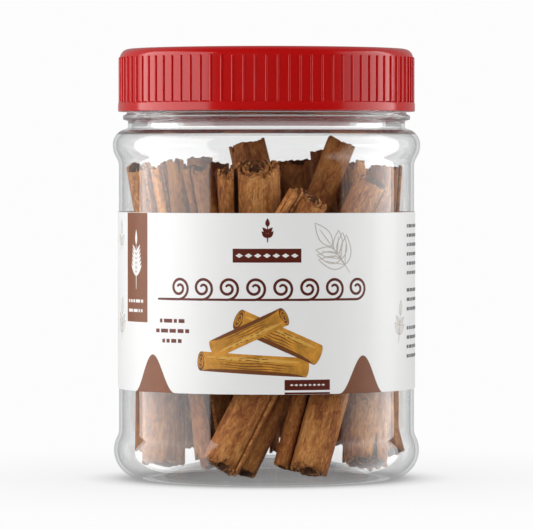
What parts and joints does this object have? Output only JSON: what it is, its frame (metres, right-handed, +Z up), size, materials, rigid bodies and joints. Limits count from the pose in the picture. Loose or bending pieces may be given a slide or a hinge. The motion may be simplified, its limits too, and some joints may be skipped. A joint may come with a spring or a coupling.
{
  "type": "jar of cinnamon sticks",
  "caption": "Closed clear plastic jar with a ribbed red screw lid and a paper sleeve label, packed with upright rolled quills of cinnamon bark.",
  "frame": {"origin": "centre of the jar's base, on the surface that it stands on", "axes": "+Z up along the jar's axis, the front of the label faces -Y"},
  "size_m": [0.091, 0.091, 0.1271],
  "materials": {
    "clear_plastic": "clear, smooth blown plastic",
    "red_plastic": "satin moulded plastic with upright grip ribs",
    "printed_paper": "smooth coated paper with flat colour print",
    "cinnamon_bark": "dry rolled bark with lengthwise grain and torn ends"
  },
  "bodies": {
    "root": {"jar": "clear_plastic", "lid": "red_plastic", "label": "printed_paper", "cinnamon_sticks": "cinnamon_bark"}
  },
  "joints": []
}
